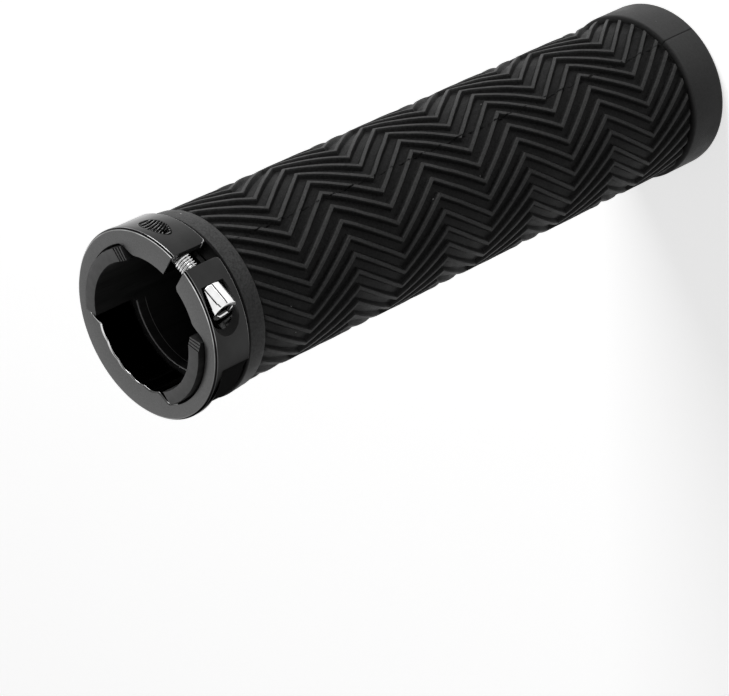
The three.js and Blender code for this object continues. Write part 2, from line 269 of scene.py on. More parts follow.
def without_slivers(mesh):
    """Makes triangles of a mesh and takes out the pairs that lie flat on each other."""
    work = bmesh.new()
    work.from_mesh(mesh)
    bmesh.ops.remove_doubles(work, verts=work.verts, dist=WELD_DISTANCE)
    bmesh.ops.triangulate(work, faces=work.faces)
    by_corners = {}
    for face in work.faces:
        by_corners.setdefault(frozenset(face.verts), []).append(face)
    doubled = [face for faces in by_corners.values() if len(faces) == 2 for face in faces]
    bmesh.ops.delete(work, geom=doubled, context="FACES")
    work.to_mesh(mesh)
    work.free()


def cut(piece, cutters, sharp_angle=35):
    """Cuts closed pieces out of another, which keeps its name, and removes them."""
    outward(piece)
    for cutter in cutters:
        outward(cutter)
        modifier = piece.modifiers.new(cutter.name, "BOOLEAN")
        modifier.operation = "DIFFERENCE"
        modifier.solver = "EXACT"
        modifier.object = cutter
    graph = bpy.context.evaluated_depsgraph_get()
    mesh = bpy.data.meshes.new_from_object(piece.evaluated_get(graph))
    piece.modifiers.clear()
    piece.data = mesh
    without_slivers(mesh)
    mesh.shade_smooth()
    mesh.set_sharp_from_angle(angle=math.radians(sharp_angle))
    for cutter in cutters:
        bpy.data.objects.remove(cutter)
    return piece


# Rubber sleeve


def zigzag(height):
    """How far round a rib lies at a height, from where it meets the flange, in degrees."""
    along = ((TREAD_TOP - height) / BAND_LENGTH) % 2
    return -TREAD_SWING * (along if along < 1 else 2 - along)


def rib_share(offset):
    """Share of the rib's height at a distance from its middle, in millimetres."""
    return 1 - smoothstep(RIB_CREST / 2, RIB_FOOT / 2, abs(offset))


def rib_offsets():
    """Where the mesh has columns across one rib, closer together on the rib than in the groove."""
    half = math.pi * (TREAD_FLOOR_RADIUS + RIB_HEIGHT) / RIB_COUNT
    side = [half * (k / RIB_STEPS) ** 1.2 for k in range(RIB_STEPS + 1)]
    return [-s for s in reversed(side[1:])] + side[:-1]


def tip_share(height):
    """The ribs round off at both ends of the tread."""
    distance = min(height - TREAD_BOTTOM, TREAD_TOP - height)
    if distance >= RIB_TIP:
        return 1.0
    return math.sqrt(max(0.0, 1 - (1 - distance / RIB_TIP) ** 2))


def tread_heights():
    step = BAND_LENGTH / ROWS_PER_BAND
    inner = [TREAD_BOTTOM + step * i for i in range(1, TREAD_BANDS * ROWS_PER_BAND)]
    tips = [RIB_TIP * share for share in (0, 0.1, 0.35, 1)]
    low = [TREAD_BOTTOM + tip for tip in tips]
    high = [TREAD_TOP - tip for tip in reversed(tips)]
    return low + inner + high


def rubber_sleeve():
    offsets = rib_offsets()
    rib_radius = TREAD_FLOOR_RADIUS + RIB_HEIGHT
    columns = [(rib, offset) for rib in range(RIB_COUNT) for offset in offsets]
    shares = [rib_share(offset) for _, offset in columns]
    angles = [
        FIRST_RIB + 360 * rib / RIB_COUNT + math.degrees(offset / rib_radius)
        for rib, offset in columns
    ]

    def plain_ring(point):
        return [polar(point.x, angle, point.y) for angle in angles]

    def tread_ring(height):
        ring = []
        swing = zigzag(height)
        tip = tip_share(height)
        for angle, share in zip(angles, shares):
            spot = polar(1.0, angle + swing, height * 0.12)
            wobble = noise.noise(spot * 3.0)
            radius = TREAD_FLOOR_RADIUS + (RIB_HEIGHT + RIB_WAVER * wobble) * share * tip
            ring.append(polar(radius, angle + swing + RIB_WAVER_ANGLE * wobble, height))
        return ring

    lower = rounded([
        (SLEEVE_BORE_RADIUS, 20, 0),
        (SLEEVE_BORE_RADIUS, 0, 0.4),
        (END_BAND_RADIUS, 0, 1.1),
        (END_BAND_RADIUS, END_BAND_LENGTH, 0.35),
        (GROOVE_RADIUS, END_BAND_LENGTH, 0.12),
        (GROOVE_RADIUS, TREAD_BOTTOM - 0.05, 0),
    ])
    upper = rounded([
        (GROOVE_RADIUS, TREAD_TOP + 0.05, 0),
        (GROOVE_RADIUS, FLANGE_BOTTOM, 0.1),
        (FLANGE_REAR_RADIUS, FLANGE_BOTTOM, 0.3),
        (FLANGE_RADIUS, SLEEVE_TOP, 0.4),
        (SLEEVE_BORE_RADIUS, SLEEVE_TOP, 0.3),
        (SLEEVE_BORE_RADIUS, 100, 0),
    ])
    heights = tread_heights()
    rings = [plain_ring(p) for p in lower]
    rings += [tread_ring(height) for height in heights]
    rings += [plain_ring(p) for p in upper]
    piece = outward(skin("grip_rubber", rings, looped=True, sharp_angle=50))
    bare = [0.0] * len(columns)
    full = [1.0] * len(columns)
    paint(piece, "crest", [bare] * len(lower) + [shares] * len(heights) + [bare] * len(upper))
    bands = [full if p.x > GROOVE_RADIUS + 0.3 else bare for p in lower]
    bands += [bare] * len(heights)
    bands += [full if p.x > GROOVE_RADIUS + 0.3 else bare for p in upper]
    paint(piece, "band", bands)
    return piece


def paint(piece, name, rings):
    """Gives a piece an attribute from its rings of values, for its material to use."""
    attribute = piece.data.attributes.new(name, "FLOAT", "POINT")
    attribute.data.foreach_set("value", [value for ring in rings for value in ring])


def tread_radius(degrees, height):
    """The tread's outer radius at any angle and height."""
    pitch = 360 / RIB_COUNT
    from_rib = (degrees - zigzag(height) - FIRST_RIB + pitch / 2) % pitch - pitch / 2
    offset = math.radians(from_rib) * (TREAD_FLOOR_RADIUS + RIB_HEIGHT)
    return TREAD_FLOOR_RADIUS + RIB_HEIGHT * rib_share(offset) * tip_share(height)


def add_fin(vertices, faces, rings):
    """Adds a closed fin over rings of three points."""
    first = len(vertices)
    last = first + 3 * (len(rings) - 1)
    for ring in rings:
        vertices.extend(ring)
    for a in range(first, last, 3):
        for side in range(3):
            b = (side + 1) % 3
            faces.append((a + side, a + b, a + 3 + b, a + 3 + side))
    faces.append((first, first + 2, first + 1))
    faces.append((last, last + 1, last + 2))


def parting_flash():
    """The thin broken fin of rubber that the mould's parting line leaves along the tread."""
    random.seed(7)
    vertices = []
    faces = []
    height = TREAD_BOTTOM + RIB_TIP
    while height < TREAD_TOP - RIB_TIP:
        run = random.uniform(*FLASH_RUNS)
        room = TREAD_TOP - FLASH_END_GAP - height
        count = max(3, int(min(run, room) / FLASH_STEP))
        rings = []
        for i in range(count + 1):
            z = height + i * min(FLASH_STEP, room / count)
            radius = tread_radius(PARTING_ANGLE, z)
            rise = FLASH_RISE * math.sin(math.pi * i / count) * random.uniform(0.4, 1.0)
            lean = random.uniform(-FLASH_LEAN, FLASH_LEAN)
            rings.append([
                polar(radius - FLASH_ROOT, PARTING_ANGLE - FLASH_HALF_ANGLE, z),
                polar(radius + rise, PARTING_ANGLE + lean, z),
                polar(radius - FLASH_ROOT, PARTING_ANGLE + FLASH_HALF_ANGLE, z),
            ])
        add_fin(vertices, faces, rings)
        height += run + random.uniform(*FLASH_GAPS)
    # The last bit of it bridges the groove under the flange
    nib = ((TREAD_TOP - 0.5, 15.2), (TREAD_TOP, 15.75), (FLANGE_BOTTOM + 0.15, 15.7))
    add_fin(vertices, faces, [
        [
            polar(GROOVE_RADIUS - NIB_ROOT, PARTING_ANGLE - NIB_HALF_ANGLE, z),
            polar(radius, PARTING_ANGLE, z),
            polar(GROOVE_RADIUS - NIB_ROOT, PARTING_ANGLE + NIB_HALF_ANGLE, z),
        ]
        for z, radius in nib
    ])
    return outward(new_object("mould_flash", vertices, faces, 60))


# Core


def core_sleeve():
    section = rounded([
        (BORE_RADIUS, TAB_TOP, 0.1),
        (BORE_RADIUS, CORE_BOTTOM, 0.3),
        (CORE_RADIUS, CORE_BOTTOM, 0.3),
        (CORE_RADIUS, COLLAR_BOTTOM, 0.1),
        (TAB_RADIUS, COLLAR_BOTTOM, 0.1),
        (TAB_RADIUS, TAB_TOP, 0.15),
    ], closed=True)
    core = turned("core_with_tabs", section, columns=192)
    far_half = 180 - TAB_END_ANGLE - THREADED_TAB_EXTRA / 2
    far_centre = SLOT_DIRECTION + 180 + THREADED_TAB_EXTRA / 2
    cutters = [
        gap_cutter("near_gap", SLOT_DIRECTION, TAB_START_ANGLE, TAB_END_SLOPE, TAB_END_STEPS),
        gap_cutter("far_gap", far_centre, far_half, TAB_END_SLOPE, 0),
        lead_in_cutter("near_lead_in", SLOT_DIRECTION, TAB_START_ANGLE - TAB_END_SLOPE),
        lead_in_cutter("far_lead_in", far_centre, far_half - TAB_END_SLOPE),
    ]
    return cut(core, cutters)


def gap_cutter(name, centre, half, slope, steps):
    """The space between two tabs, which widens in steps below the tabs' tops."""
    levels = [(SLEEVE_TOP, half - steps * TAB_STEP_ANGLE)]
    for left in range(steps, 0, -1):
        ledge = TAB_TOP - left * TAB_STEP_DEPTH
        levels.append((ledge, half - left * TAB_STEP_ANGLE))
        above = half - (left - 1) * TAB_STEP_ANGLE
        levels.append((ledge + TAB_STEP_LEAN, above - TAB_STEP_EDGE_ANGLE))
    levels.append((TAB_TOP + 1, half))
    rings = []
    for height, half_here in levels:
        inner = half_here - slope
        outer = half_here + slope
        arc = range(-8, 9)
        ring = [polar(TAB_RADIUS + GAP_OVERRUN, centre + outer * i / 8, height) for i in arc]
        ring += [polar(BORE_RADIUS - GAP_OVERRUN, centre - inner * i / 8, height) for i in arc]
        rings.append(ring)
    return skin(name, rings)


def lead_in_cutter(name, centre, half):
    """Opens the bore's mouth a little between the tabs, where the handlebar goes in."""
    rings = []
    levels = ((SLEEVE_TOP - LEAD_IN_DEPTH, 0.0), (SLEEVE_TOP + 0.5, LEAD_IN_FLARE))
    for height, flare in levels:
        arc = [centre - half + half * i / 12 for i in range(25)]
        ring = [polar(BORE_RADIUS + 0.01 + flare, angle, height) for angle in arc]
        ring += [polar(BORE_RADIUS - 1, angle, height) for angle in reversed(arc)]
        rings.append(ring)
    return skin(name, rings)


# Collar


def pad_radius(angle):
    """The collar's outer radius behind its rim: full on the two pads, less along the waist."""
    fall = COLLAR_RADIUS - WAIST_RADIUS
    if angle <= NUT_PAD_ANGLE or angle >= 360 - HEAD_PAD_ANGLE:
        return COLLAR_RADIUS
    from_nut = (angle - NUT_PAD_ANGLE) / RAMP_ANGLE
    from_head = (360 - HEAD_PAD_ANGLE - angle) / RAMP_ANGLE
    if from_nut < 1:
        return WAIST_RADIUS + fall * (1 - smoothstep(0, 1, from_nut))
    if from_head < 1:
        return WAIST_RADIUS + fall * (1 - from_head) ** 2
    return WAIST_RADIUS


def wall_distance(angle):
    """How far the slot's wall stands from the slot's middle, on the side of an angle."""
    return THREADED_WALL_X if angle < 180 else HEAD_WALL_X


def slot_start_on(angle):
    """Angle from the slot at which the collar starts, on the side of an angle."""
    return math.degrees(math.asin(wall_distance(angle) / COLLAR_RADIUS))


def bore_radius(angle):
    """The collar's inner radius: lands beside the slot and opposite it, with recesses between."""
    from_slot = min(angle, 360 - angle)
    later = THREADED_LAND_EXTRA if angle < 180 else 0
    if from_slot < RECESS_START_ANGLE + later:
        share = smoothstep(LAND_END_ANGLE + later, RECESS_START_ANGLE + later, from_slot)
        radius = LAND_RADIUS + (RECESS_RADIUS - LAND_RADIUS) * share
        reach = max(0.0, math.radians(from_slot - slot_start_on(angle)) * LAND_RADIUS)
        if angle > 180 and reach < HEAD_LAND_ROUNDING:
            left = HEAD_LAND_ROUNDING - reach
            radius += HEAD_LAND_ROUNDING - math.sqrt(HEAD_LAND_ROUNDING**2 - left**2)
        return radius
    later = THREADED_RECESS_EXTRA if angle < 180 else 0
    share = smoothstep(FAR_LAND_ANGLE + later, RECESS_END_ANGLE + later, from_slot)
    recess = LAND_RADIUS + (RECESS_RADIUS - LAND_RADIUS) * share
    if from_slot < FAR_LAND_ANGLE:
        return recess
    scallop = 2 * (180 - FAR_LAND_ANGLE) / FAR_LAND_SCALLOPS
    wave = abs(math.sin(math.pi * (from_slot - FAR_LAND_ANGLE) / scallop))
    return max(recess, LAND_RADIUS + SCALLOP_DEPTH * wave)


def rear_level(angle):
    """The collar's rear face, which rounds up to the slot's sides."""
    from_slot = min(angle, 360 - angle)
    reach = max(0.0, math.radians(from_slot - slot_start_on(angle)) * COLLAR_RADIUS)
    left = REAR_CORNER_ROUNDING - reach
    if left <= 0:
        return COLLAR_BOTTOM
    return COLLAR_BOTTOM + REAR_CORNER_ROUNDING - math.sqrt(REAR_CORNER_ROUNDING**2 - left**2)


def collar_section(angle):
    """The collar's closed section at an angle, as (radius, height) points."""
    outer = pad_radius(angle)
    inner = bore_radius(angle)
    rear = rear_level(angle)
    rim = COLLAR_TOP - RIM_LENGTH
    return rounded([
        (inner, COLLAR_TOP - BORE_CHAMFER, 0.05),
        (inner + BORE_CHAMFER, COLLAR_TOP, 0.05),
        (COLLAR_RADIUS - COLLAR_CHAMFER, COLLAR_TOP, 0.06),
        (COLLAR_RADIUS, COLLAR_TOP - COLLAR_CHAMFER, 0.06),
        (COLLAR_RADIUS, rim, 0.08),
        (outer, rim - RIM_STEP, 0.08),
        (outer, rear + REAR_EDGE, 0.1),
        (outer - REAR_EDGE, rear, 0.1),
        (inner + BORE_REAR_EDGE, rear, 0.05),
        (inner, rear + BORE_REAR_EDGE, 0.05),
    ], segments=2, closed=True)


def collar_angles(bevel):
    """Angles of the collar's sections, closer together beside the slot."""
    start = slot_start_on(0) + bevel
    end = slot_start_on(360) + bevel
    steps = [FINE_ARC * (i / FINE_SECTIONS) ** 1.5 for i in range(FINE_SECTIONS)]
    span = 360 - 2 * FINE_ARC - start - end
    body = [start + FINE_ARC + i * span / PLAIN_SECTIONS for i in range(PLAIN_SECTIONS + 1)]
    return [start + step for step in steps] + body + [360 - end - step for step in reversed(steps)]


def collar_ring(angle, inset=0.0):
    """One section as points. Beside the slot it turns to lie along the slot's flat sides."""
    section = collar_section(angle)
    slot_start = slot_start_on(angle)
    middle = sum(section, Vector((0, 0))) / len(section)
    from_slot = min(angle, 360 - angle)
    side = 1 if angle < 180 else -1
    fade = max(0.0, 1 - (from_slot - slot_start) / 12)
    ring = []
    for point in section:
        moved = point + (middle - point).normalized() * inset
        turn = math.degrees(math.asin(wall_distance(angle) / moved.x)) - slot_start
        ring.append(polar(moved.x, SLOT_DIRECTION + angle + side * turn * fade, moved.y))
    return ring


def lock_collar():
    rings = [collar_ring(slot_start_on(0), inset=SLOT_EDGE)]
    rings += [collar_ring(angle) for angle in collar_angles(bevel=SLOT_EDGE_ANGLE)]
    rings.append(collar_ring(360 - slot_start_on(360), inset=SLOT_EDGE))
    collar = skin("clamp_collar", rings)
    tapped_start = THREADED_WALL_X - CUT_OVERRUN
    cutters = [
        bar_cutter("head_pocket", POCKET_RADIUS, -COLLAR_RADIUS, HEAD_SEAT_X),
        bar_cutter("shank_hole", HOLE_RADIUS, HEAD_SEAT_X - 1, CUT_OVERRUN - HEAD_WALL_X),
        threaded_bar("tapped_hole", TAPPED_RADIUS, TAPPED_DEPTH, tapped_start, COLLAR_RADIUS),
    ]
    return cut(collar, cutters, sharp_angle=40)


def along_bolt(x, radius, degrees):
    """A point round the bolt's axis."""
    angle = math.radians(degrees)
    y = BOLT_AXIS_Y + radius * math.cos(angle)
    return Vector((x, y, BOLT_LEVEL + radius * math.sin(angle)))


def bolt_ring(x, radius, columns):
    return [along_bolt(x, radius, 360 * j / columns) for j in range(columns)]


def bar_cutter(name, radius, start, end):
    return skin(name, [bolt_ring(x, radius, 72) for x in (start, end)])


def threaded_bar(name, radius, depth, start, end, columns=48):
    """A bar along the bolt's axis with a screw thread down to a depth."""
    rings = []
    rows = round((end - start) / THREAD_PITCH * ROWS_PER_PITCH)
    for row in range(rows + 1):
        x = start + (end - start) * row / rows
        ring = []
        for j in range(columns):
            phase = (x / THREAD_PITCH - j / columns) % 1
            wave = min(1.0, max(0.0, 1.6 * abs(2 * phase - 1) - 0.2))
            taper = min(1.0, (end - x) / THREAD_PITCH)
            ring.append(along_bolt(x, radius - depth * (1 - wave * taper), 360 * j / columns))
        rings.append(ring)
    return skin(name, rings, sharp_angle=60)


# Bolt


def clamp_bolt():
    seat = HEAD_SEAT_X - HEAD_CLEARANCE
    start = seat - SHANK_SUNK_IN_HEAD
    shank = threaded_bar("clamp_screw", BOLT_RADIUS, THREAD_DEPTH, start, seat + BOLT_LENGTH)
    section = rounded([
        (0.02, seat, 0),
        (HEAD_RADIUS, seat, 0.15),
        (HEAD_RADIUS, seat - HEAD_LENGTH + HEAD_BEVEL_LENGTH, 0.04),
        (HEAD_RADIUS - 0.12, seat - HEAD_LENGTH, 0.15),
        (0.02, seat - HEAD_LENGTH, 0),
    ], segments=6)
    head = skin("screw_head", [bolt_ring(x, r, 96) for r, x in section], sharp_angle=45)
    corner_radius = HEX_ACROSS_FLATS / math.sqrt(3)
    end = seat - HEAD_LENGTH
    socket_levels = (
        (end - 0.5, 1.35),
        (end, 1.1),
        (end + HEX_LEAD_IN, 1.0),
        (end + HEX_DEPTH, 1.0),
        (end + HEX_DEPTH + 0.5, 0.05),
    )
    hexagon = [
        [along_bolt(x, corner_radius * share, 60 * j + HEX_TURN) for j in range(6)]
        for x, share in socket_levels
    ]
    cut(head, [skin("socket", hexagon)], sharp_angle=40)
    bpy.ops.object.select_all(action="DESELECT")
    outward(shank)
    head.select_set(True)
    shank.select_set(True)
    bpy.context.view_layer.objects.active = shank
    bpy.ops.object.join()
    return shank


# Materials


class Nodes:
    """A short way to build a material's nodes."""

    def __init__(self, name):
        self.material = bpy.data.materials.new(name)
        self.material.use_nodes = True
        self.tree = self.material.node_tree
        self.shader = self.tree.nodes["Principled BSDF"]
        self.place = self.add("ShaderNodeTexCoord").outputs["Object"]

    def add(self, kind, inputs=None, **settings):
        node = self.tree.nodes.new(kind)
        for key, value in settings.items():
            setattr(node, key, value)
        for key, value in (inputs or {}).items():
            self.feed(node.inputs[key], value)
        return node

    def feed(self, socket, value):
        if isinstance(value, bpy.types.NodeSocket):
            self.tree.links.new(value, socket)
        else:
            socket.default_value = value

    def noise(self, scale, detail=3.0, roughness=0.55, stretch=(1, 1, 1)):
        mapped = self.add("ShaderNodeMapping", {"Vector": self.place, "Scale": stretch})
        inputs = {"Vector": mapped.outputs[0], "Scale": scale}
        inputs |= {"Detail": detail, "Roughness": roughness}
        return self.add("ShaderNodeTexNoise", inputs).outputs["Fac"]

    def ramp(self, value, low, high, start=0.0, end=1.0):
        """Goes from start to end as a value goes from low to high, and stays level beyond."""
        inputs = {"Value": value, "From Min": low, "From Max": high}
        inputs |= {"To Min": start, "To Max": end}
        return self.add("ShaderNodeMapRange", inputs).outputs["Result"]

    def attribute(self, name):
        return self.add("ShaderNodeAttribute", attribute_name=name).outputs["Fac"]

    def position(self):
        """The place on the object in millimetres, along each axis."""
        inputs = {0: self.place, "Scale": 1 / MM}
        scaled = self.add("ShaderNodeVectorMath", inputs, operation="SCALE")
        return self.add("ShaderNodeSeparateXYZ", {"Vector": scaled.outputs[0]}).outputs

    def height(self):
        return self.position()["Z"]

    def radius(self):
        """Distance from the grip's own axis in millimetres."""
        spot = self.position()
        return self.length(spot["X"], spot["Y"])

    def length(self, a, b):
        total = self.math("ADD", self.math("MULTIPLY", a, a), self.math("MULTIPLY", b, b))
        return self.math("SQRT", total, 0.0)

    def band(self, value, low, high, blur):
        """1 between two levels and 0 outside, with soft ends."""
        rise = self.ramp(value, low, low + blur)
        return self.math("MULTIPLY", rise, self.ramp(value, high, high - blur))

    def parting_line(self):
        """1 along the mould's parting line, which runs in line with the slot, and 0 elsewhere."""
        spot = self.position()
        middle = END_BAND_RADIUS * math.cos(math.radians(PARTING_ANGLE))
        line = self.band(spot["X"], middle - 0.2, middle + 0.2, 0.12)
        line = self.math("MULTIPLY", line, self.math("LESS_THAN", spot["Z"], TREAD_TOP))
        return self.math("MULTIPLY", line, self.math("LESS_THAN", spot["Y"], 0.0))

    def bolt_radius(self):
        """Distance from the bolt's axis in millimetres."""
        spot = self.position()
        across = self.math("SUBTRACT", spot["Y"], BOLT_AXIS_Y)
        along = self.math("SUBTRACT", spot["Z"], BOLT_LEVEL)
        return self.length(across, along)

    def bolt_hollow(self):
        """1 on the walls round the bolt and 0 elsewhere."""
        x = self.position()["X"]
        hole = HOLE_RADIUS + 0.1
        pocket = POCKET_RADIUS + 0.03
        wide = self.ramp(x, HEAD_SEAT_X + 0.05, HEAD_SEAT_X - 0.05, hole, pocket)
        return self.math("LESS_THAN", self.bolt_radius(), wide)

    def above_rear(self):
        """Height above the collar's rear edge in millimetres, which rounds up beside the slot."""
        spot = self.position()
        from_middle = self.math("ABSOLUTE", spot["X"], 0.0)
        reach = self.math("SUBTRACT", from_middle, HEAD_WALL_X)
        left = self.ramp(reach, 0.0, REAR_CORNER_ROUNDING, REAR_CORNER_ROUNDING, 0.0)
        left = self.math("MULTIPLY", left, self.math("LESS_THAN", spot["Y"], -15.0))
        square = self.math("SUBTRACT", REAR_CORNER_ROUNDING**2, self.math("MULTIPLY", left, left))
        rise = self.math("SUBTRACT", REAR_CORNER_ROUNDING, self.math("SQRT", square, 0.0))
        return self.math("SUBTRACT", self.math("SUBTRACT", spot["Z"], rise), COLLAR_BOTTOM)

    def facing_up(self):
        """1 on faces that look straight up and 0 elsewhere."""
        normal = self.add("ShaderNodeNewGeometry").outputs["Normal"]
        parts = self.add("ShaderNodeSeparateXYZ", {"Vector": normal})
        return self.ramp(parts.outputs["Z"], 0.9, 0.99)

    def math(self, operation, a, b):
        return self.add("ShaderNodeMath", {0: a, 1: b}, operation=operation).outputs[0]

    def mix(self, share, a, b):
        node = self.add("ShaderNodeMix", data_type="RGBA")
        self.feed(node.inputs["Factor"], share)
        self.feed(node.inputs[6], a)
        self.feed(node.inputs[7], b)
        return node.outputs[2]

    def bump(self, height, strength, distance, below=None):
        inputs = {"Height": height, "Strength": strength, "Distance": distance}
        if below is not None:
            inputs["Normal"] = below
        return self.add("ShaderNodeBump", inputs).outputs["Normal"]

    def specks(self, scale, size, share):
        """Sparse round specks: 1 inside one, 0 elsewhere."""
        cells = self.add("ShaderNodeTexVoronoi", {"Vector": self.place, "Scale": scale})
        near = self.math("LESS_THAN", cells.outputs["Distance"], size)
        chance = self.add("ShaderNodeSeparateColor", {"Color": cells.outputs["Color"]}).outputs[0]
        return self.math("MULTIPLY", near, self.math("LESS_THAN", chance, share))

    def finish(self, **inputs):
        """Feeds the shader and gives back the finished material."""
        for key, value in inputs.items():
            self.feed(self.shader.inputs[key.replace("_", " ")], value)
        return self.material


def grey(value):
    return (value, value, value, 1.0)


def rubber():
    n = Nodes("matt_rubber")
    crest = n.attribute("crest")
    band = n.attribute("band")
    cloudy = n.noise(260, 4)
    grain = n.noise(5200, 3, 0.7)
    coarse = n.noise(2300, 3, 0.7)
    dust = n.specks(420, 0.055, 0.1)
    dust = n.math("MULTIPLY", dust, n.ramp(n.height(), 40, 110, 0.1, 1.0))
    # Groove floors darkened as painted shade, crests lighter from wear and painted sheen, and the
    # smooth bands at both ends
    floor = n.mix(n.ramp(coarse, 0.35, 0.65), grey(0.005), grey(0.014))
    crest_wear_and_sheen = n.mix(n.ramp(coarse, 0.35, 0.65), grey(0.033), grey(0.054))
    wear_and_painted_light = n.mix(n.ramp(crest, 0.5, 1.0), floor, crest_wear_and_sheen)
    even = n.mix(n.ramp(n.height(), 20, 100, 0.25, 1.0), grey(0.5), n.ramp(coarse, 0.3, 0.7))
    smooth = n.mix(even, grey(0.03), grey(0.064))
    surface = n.mix(band, wear_and_painted_light, smooth)
    speckled = n.mix(n.ramp(grain, 0.66, 0.8, 0.0, 0.3), surface, grey(0.09))
    # The mould's seam, and painted shade on the flange just under the collar
    seam = n.parting_line()
    torn = n.ramp(n.noise(900, 2), 0.5, 0.56)
    seam = n.math("MULTIPLY", seam, n.math("MAXIMUM", torn, n.math("MULTIPLY", band, 0.7)))
    shaded = n.ramp(n.height(), SLEEVE_TOP - 0.55, SLEEVE_TOP - 0.35)
    seam_and_painted_shade = n.mix(n.math("MAXIMUM", seam, shaded), speckled, grey(0.003))
    colour = n.mix(dust, seam_and_painted_shade, grey(0.4))
    rough = n.ramp(cloudy, 0.3, 0.7, 0.42, 0.55)
    normal = n.bump(grain, 0.5, 0.00005)
    normal = n.bump(coarse, 0.4, 0.00008, normal)
    normal = n.bump(n.math("SUBTRACT", 0.0, seam), 0.6, 0.0002, normal)
    return n.finish(
        Base_Color=colour,
        Roughness=rough,
        Normal=normal,
        Specular_IOR_Level=BLACK_SPECULAR,
    )


def core_plastic():
    n = Nodes("hard_black_plastic")
    streaks = n.noise(700, 4, 0.6, stretch=(1, 1, 0.12))
    cloudy = n.noise(150, 3)
    level = n.height()
    ends = n.math("MULTIPLY", n.facing_up(), n.math("GREATER_THAN", level, COLLAR_TOP))
    inside = n.mix(n.ramp(streaks, 0.35, 0.75), grey(0.02), grey(0.04))
    end = n.mix(n.ramp(streaks, 0.35, 0.75), grey(0.15), grey(0.19))
    # Painted shade in the steps at the tabs' near ends, and painted highlights along the bore's
    # mouth
    below_top = n.math("SUBTRACT", TAB_TOP, level)
    in_step = n.math("FRACT", n.math("MULTIPLY", below_top, 1 / TAB_STEP_DEPTH), 0.0)
    step_shade = n.band(in_step, 0.1, 0.76, 0.06)
    step_shade = n.math("MULTIPLY", step_shade, n.math("LESS_THAN", n.position()["Y"], TAB_STEPS_END_Y))
    lead_in_foot = SLEEVE_TOP - LEAD_IN_DEPTH
    # Painted highlights: light lines at the lead-in's foot and at the lip, on the bore's far side
    # only
    mouth_highlight = n.math(
        "MAXIMUM",
        n.band(level, lead_in_foot - 0.07, lead_in_foot + 0.07, 0.04),
        n.band(level, SLEEVE_TOP - 0.28, SLEEVE_TOP - 0.02, 0.04),
    )
    far_side = n.ramp(n.position()["Y"], 7.6, 8.2)
    mouth_highlight = n.math("MULTIPLY", mouth_highlight, far_side)
    stepped = n.mix(step_shade, n.mix(ends, inside, end), grey(0.012))
    lip = n.ramp(level, SLEEVE_TOP - 0.5, SLEEVE_TOP - 0.4, 0.4, 1.0)
    colour = n.mix(n.math("MULTIPLY", mouth_highlight, lip), stepped, grey(0.6))
    colour = n.mix(n.specks(300, 0.05, 0.06), colour, grey(0.25))
    rough = n.ramp(cloudy, 0.3, 0.7, 0.38, 0.5)
    normal = n.bump(streaks, 0.25, 0.00003)
    return n.finish(
        Base_Color=colour,
        Roughness=rough,
        Normal=normal,
        Specular_IOR_Level=BLACK_SPECULAR,
    )


